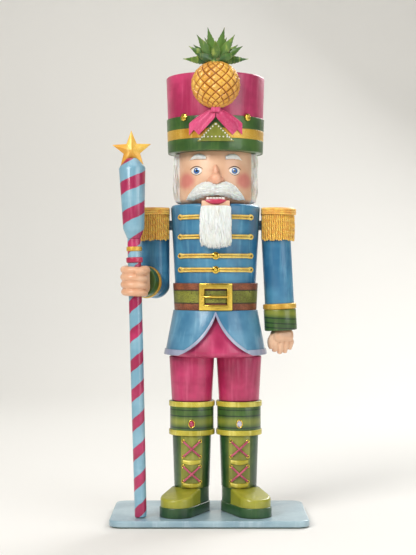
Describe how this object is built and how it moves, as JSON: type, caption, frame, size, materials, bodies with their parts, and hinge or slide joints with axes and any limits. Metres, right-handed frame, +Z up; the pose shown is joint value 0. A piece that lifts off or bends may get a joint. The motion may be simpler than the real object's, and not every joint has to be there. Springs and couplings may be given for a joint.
{
  "type": "nutcracker figure",
  "caption": "Standing toy-soldier nutcracker of painted turned wood with a lever jaw, swinging arms, fur beard, tall hat with a pineapple badge and a striped star-topped staff, on a thin board.",
  "frame": {"origin": "middle of the felt underside of the base board", "axes": "+Z up, the figure faces -Y, its own left arm is at +X and the staff at -X"},
  "size_m": [0.156, 0.1049, 0.3886],
  "materials": {
    "paint_pink": "satin painted turned wood",
    "paint_blue": "satin painted turned wood",
    "paint_light_blue": "satin painted turned wood",
    "paint_green": "satin painted turned wood",
    "paint_dark_green": "satin painted turned wood",
    "paint_olive": "satin painted turned wood",
    "paint_lime": "satin painted turned wood",
    "paint_gold": "gold paint on wood",
    "paint_skin": "satin painted turned wood",
    "paint_white": "satin painted wood",
    "paint_red": "gloss painted wood",
    "paint_lilac": "satin painted trim",
    "paint_ice": "satin painted board",
    "paint_stripes": "pale blue paint with a pink spiral stripe",
    "bare_wood": "unpainted beech",
    "fur_white": "combed white faux fur",
    "cord_gold": "twisted metallic gold cord",
    "cord_pink": "round pink lace",
    "ribbon_pink": "satin ribbon",
    "felt": "short green felt",
    "belt_leather": "brown leather strap",
    "brass": "polished brass",
    "steel": "plain steel pin"
  },
  "bodies": {
    "figure": {"base_plate": "paint_ice", "base_felt": "felt", "boot_soles": "paint_dark_green", "boot_feet": "paint_lime", "boot_shafts": "paint_dark_green", "boot_cuffs": "paint_green", "boot_cuff_rims": "paint_gold", "boot_cuff_jewels": "paint_red", "boot_tongues": "paint_olive", "boot_laces": "cord_pink", "leg_dowels": "bare_wood", "trouser_legs": "paint_pink", "hip_block": "paint_pink", "torso": "paint_blue", "coat_skirt": "paint_light_blue", "skirt_piping": "paint_lilac", "belt": "belt_leather", "belt_buckle": "brass", "coat_braids": "cord_gold", "coat_buttons": "brass", "body_dowels": "bare_wood", "jaw_pin": "steel", "head": "paint_skin", "nose": "paint_skin", "eyes": "paint_white", "eyebrows": "fur_white", "moustache": "fur_white", "hair": "fur_white", "hat_crown": "paint_pink", "hat_green_bands": "paint_green", "hat_gold_band": "paint_gold", "pineapple": "paint_gold", "pineapple_leaves": "paint_green", "hat_ribbon_tails": "ribbon_pink", "hat_peak": "paint_olive", "hat_rosettes": "brass"},
    "jaw": {"jaw_lever": "bare_wood", "lower_lip": "paint_red", "jaw_teeth": "paint_white", "beard": "fur_white"},
    "left_arm": {"left_arm": "paint_light_blue", "left_cuff_ring": "paint_gold", "left_cuff": "paint_green", "left_hand": "paint_skin", "left_epaulette": "paint_gold", "left_fringe": "cord_gold", "left_shoulder_peg": "bare_wood"},
    "right_arm": {"right_upper_arm": "paint_light_blue", "right_forearm": "paint_light_blue", "right_cuff_ring": "paint_gold", "right_cuff": "paint_green", "right_hand": "paint_skin", "right_epaulette": "paint_gold", "right_fringe": "cord_gold", "right_shoulder_peg": "bare_wood"},
    "staff": {"staff_shaft": "paint_stripes", "staff_head": "paint_stripes", "staff_collar": "paint_red", "staff_bead": "paint_gold", "staff_star": "paint_gold"}
  },
  "joints": [
    {"name": "jaw_hinge", "type": "hinge", "parent": "figure", "child": "jaw", "pos_m": [0.005, 0.008, 0.214], "axis": [1, 0, 0], "range_deg": [0, 18]},
    {"name": "left_shoulder", "type": "hinge", "parent": "figure", "child": "left_arm", "pos_m": [0.0534, 0, 0.236], "axis": [-1, 0, 0], "range_deg": [-30, 120]},
    {"name": "right_shoulder", "type": "hinge", "parent": "figure", "child": "right_arm", "pos_m": [-0.0434, 0, 0.236], "axis": [-1, 0, 0], "range_deg": [0, 70]},
    {"name": "staff_slide", "type": "slide", "parent": "right_arm", "child": "staff", "axis": [-0.0244, 0, 0.9997], "range_m": [0, 0.2]}
  ]
}
